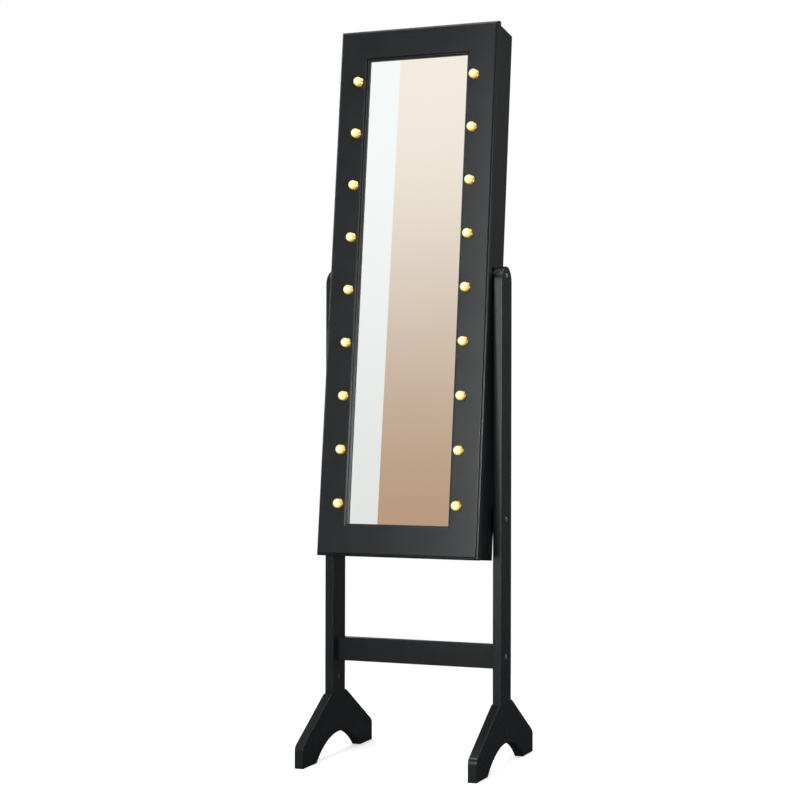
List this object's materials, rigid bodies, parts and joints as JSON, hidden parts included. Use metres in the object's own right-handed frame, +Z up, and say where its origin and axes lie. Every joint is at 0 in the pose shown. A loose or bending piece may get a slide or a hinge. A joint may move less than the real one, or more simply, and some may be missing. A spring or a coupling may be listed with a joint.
{
  "type": "jewelry armoire",
  "caption": "Tall mirrored jewelry armoire with lamps down both sides of the door, tilting between the posts of a low floor stand.",
  "frame": {"origin": "on the floor, midway between the two feet", "axes": "+Z up, +X to the viewer's right along the stand's width, +Y away from the viewer, so the mirror faces -Y"},
  "size_m": [0.3736, 0.351, 1.4604],
  "materials": {
    "black_lacquer": "satin black lacquer",
    "black_velvet": "short-pile velvet",
    "velvet_board": "board covered in short-pile velvet",
    "silvered_mirror": "flat silvered glass",
    "bulb_glass": "frosted warm glass",
    "gold_metal": "satin gold",
    "zinc_steel": "zinc plated",
    "white_nylon": "moulded",
    "black_rubber": "matt",
    "black_plastic": "moulded, fine texture",
    "clear_acrylic": "polished clear sheet",
    "hardboard": "smooth brown hardboard",
    "beech_dowel": "fluted beech",
    "lamp_board": "white circuit board",
    "magnet_ferrite": "dark ferrite",
    "cell_jacket": "plain printed-free metal jacket"
  },
  "bodies": {
    "stand": {"left_post": "black_lacquer", "right_post": "black_lacquer", "left_foot": "black_lacquer", "right_foot": "black_lacquer", "lower_rail": "black_lacquer", "upper_rail": "black_lacquer", "rail_bolts": "zinc_steel", "cross_nuts": "zinc_steel", "foot_bolts": "zinc_steel", "foot_dowels": "beech_dowel", "stop_bumpers": "black_rubber", "pivot_bushes": "white_nylon"},
    "cabinet": {"cabinet_left_side": "black_lacquer", "cabinet_right_side": "black_lacquer", "cabinet_top": "black_lacquer", "cabinet_bottom": "black_lacquer", "cabinet_back": "black_lacquer", "back_lining": "black_velvet", "shelf_1": "velvet_board", "shelf_2": "velvet_board", "shelf_3": "velvet_board", "shelf_4": "velvet_board", "shelf_5": "velvet_board", "shelf_guards": "clear_acrylic", "hook_bar": "black_lacquer", "necklace_hooks": "gold_metal", "ring_tray": "velvet_board", "ring_cushion": "black_velvet", "rod_brackets": "black_lacquer", "bracelet_rods": "black_velvet", "catch_housing": "black_plastic", "catch_magnet": "magnet_ferrite", "pivot_inserts": "zinc_steel", "pivot_washers": "white_nylon", "pivot_bolts": "zinc_steel", "hinge_body_leaves": "zinc_steel", "hinge_pins": "zinc_steel", "hinge_body_screws": "zinc_steel"},
    "door": {"door_left_stile": "black_lacquer", "door_right_stile": "black_lacquer", "door_top_rail": "black_lacquer", "door_bottom_rail": "black_lacquer", "mirror_glass": "silvered_mirror", "mirror_backing": "hardboard", "door_panel": "velvet_board", "left_bulb_globes": "bulb_glass", "right_bulb_globes": "bulb_glass", "left_bulb_bases": "gold_metal", "right_bulb_bases": "gold_metal", "lamp_strips": "lamp_board", "lamp_lead": "lamp_board", "strike_plate": "zinc_steel", "battery_box": "black_plastic", "batteries": "cell_jacket", "hinge_door_leaves": "zinc_steel", "hinge_door_screws": "zinc_steel", "earring_brackets": "black_lacquer", "earring_bars": "clear_acrylic"},
    "button": {"switch_button": "black_plastic"},
    "cover": {"battery_cover": "black_plastic"}
  },
  "joints": [
    {"name": "cabinet_tilt", "type": "hinge", "parent": "stand", "child": "cabinet", "pos_m": [0, 0, 0.958], "axis": [-1, 0, 0], "range_deg": [0, 20]},
    {"name": "door_hinge", "type": "hinge", "parent": "cabinet", "child": "door", "pos_m": [-0.167, -0.03775, 0.96237], "axis": [0, -0.1149, -0.9934], "range_deg": [0, 105]},
    {"name": "switch_press", "type": "slide", "parent": "door", "child": "button", "axis": [0, -0.9934, 0.1149], "range_m": [0, 0.0015], "stiffness_N_per_m": 400},
    {"name": "cover_slide", "type": "slide", "parent": "door", "child": "cover", "axis": [1, 0, 0], "range_m": [0, 0.052]}
  ]
}
